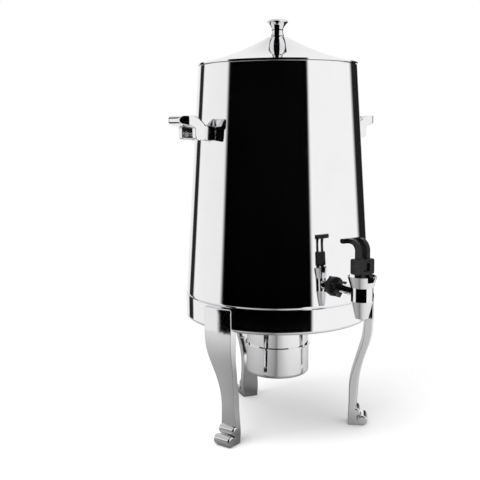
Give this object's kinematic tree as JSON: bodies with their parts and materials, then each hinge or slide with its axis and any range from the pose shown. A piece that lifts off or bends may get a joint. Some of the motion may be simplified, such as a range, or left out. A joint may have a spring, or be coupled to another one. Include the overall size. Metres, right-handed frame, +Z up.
{
  "type": "coffee urn",
  "caption": "Tabletop coffee urn on cabriole legs: tapered polished tank, lift-off knobbed lid, side handles, lever tap and a pull-down fuel burner under the stand.",
  "frame": {"origin": "where the tank's axis meets the table", "axes": "+Z up along the tank's axis, -Y towards the tap, handles along X"},
  "size_m": [0.312, 0.3219, 0.5455],
  "materials": {
    "tank_polish": "mirror-polished stainless steel",
    "tank_underside": "drawn stainless steel",
    "lid_polish": "mirror-polished stainless steel",
    "knob_chrome": "bright plated",
    "band_polish": "mirror-polished stainless steel",
    "leg_chrome": "bright plated casting",
    "burner_polish": "mirror-polished stainless steel",
    "sleeve_polish": "polished stainless steel",
    "handle_chrome": "bright plated casting",
    "tap_chrome": "bright plated",
    "bonnet_chrome": "bright plated",
    "collar_plastic": "satin black",
    "seal_rubber": "matte black",
    "hidden_steel": "drawn stainless steel",
    "fastener_steel": "bright stainless steel",
    "spring_wire": "bright spring wire",
    "stem_steel": "turned stainless steel",
    "silicone": "satin silicone",
    "lever_plastic": "satin black"
  },
  "bodies": {
    "stand": {"stand_ring": "band_polish", "rest_ring": "hidden_steel", "leg_front_left": "leg_chrome", "leg_front_right": "leg_chrome", "leg_rear": "leg_chrome", "leg_bolts": "fastener_steel", "burner_hanger": "hidden_steel", "hanger_screws": "fastener_steel", "hanger_nuts": "fastener_steel", "burner_sleeve": "sleeve_polish", "burner_cover": "hidden_steel", "damper_rivet": "fastener_steel"},
    "damper": {"damper": "hidden_steel"},
    "burner_cup": {"burner_cup": "burner_polish"},
    "urn": {"urn_shell": "tank_polish", "urn_base": "tank_underside", "handle_left": "handle_chrome", "handle_right": "handle_chrome", "handle_screws": "fastener_steel", "handle_washers": "hidden_steel", "tap_body": "tap_chrome", "tap_bonnet": "bonnet_chrome", "collar_nut": "collar_plastic", "outer_seal": "seal_rubber", "inner_seal": "silicone", "inner_washer": "hidden_steel", "inner_nut": "fastener_steel", "return_spring": "spring_wire"},
    "stem": {"valve_stem": "stem_steel", "seat_cup": "silicone", "lever_pin": "fastener_steel"},
    "lever": {"tap_lever": "lever_plastic"},
    "lid": {"lid_shell": "lid_polish", "lid_skirt": "hidden_steel", "lid_knob": "knob_chrome", "knob_screw": "fastener_steel", "knob_washer": "hidden_steel"}
  },
  "joints": [
    {"name": "urn_lift", "type": "slide", "parent": "stand", "child": "urn", "axis": [0, 0, 1], "range_m": [0, 0.06]},
    {"name": "lid_lift", "type": "slide", "parent": "urn", "child": "lid", "axis": [0, 0, 1], "range_m": [0, 0.06]},
    {"name": "stem_lift", "type": "slide", "parent": "urn", "child": "stem", "axis": [0, 0, 1], "range_m": [0, 0.0026], "stiffness_N_per_m": 1150, "springref_m": -0.003, "deforming": ["return_spring"]},
    {"name": "lever_tilt", "type": "hinge", "parent": "stem", "child": "lever", "pos_m": [0, -0.174, 0.229], "axis": [1, 0, 0], "range_deg": [0, 30]},
    {"name": "cup_drop", "type": "slide", "parent": "stand", "child": "burner_cup", "axis": [0, 0, -1], "range_m": [0, 0.065]},
    {"name": "damper_swing", "type": "hinge", "parent": "stand", "child": "damper", "pos_m": [-0.02585, 0.02208, 0.1591], "axis": [0, 0, 1], "range_deg": [0, 95]}
  ],
  "couplings": [
    {"joint": "lever_tilt", "follows": "stem_lift", "rad_per_m": 201.38}
  ]
}
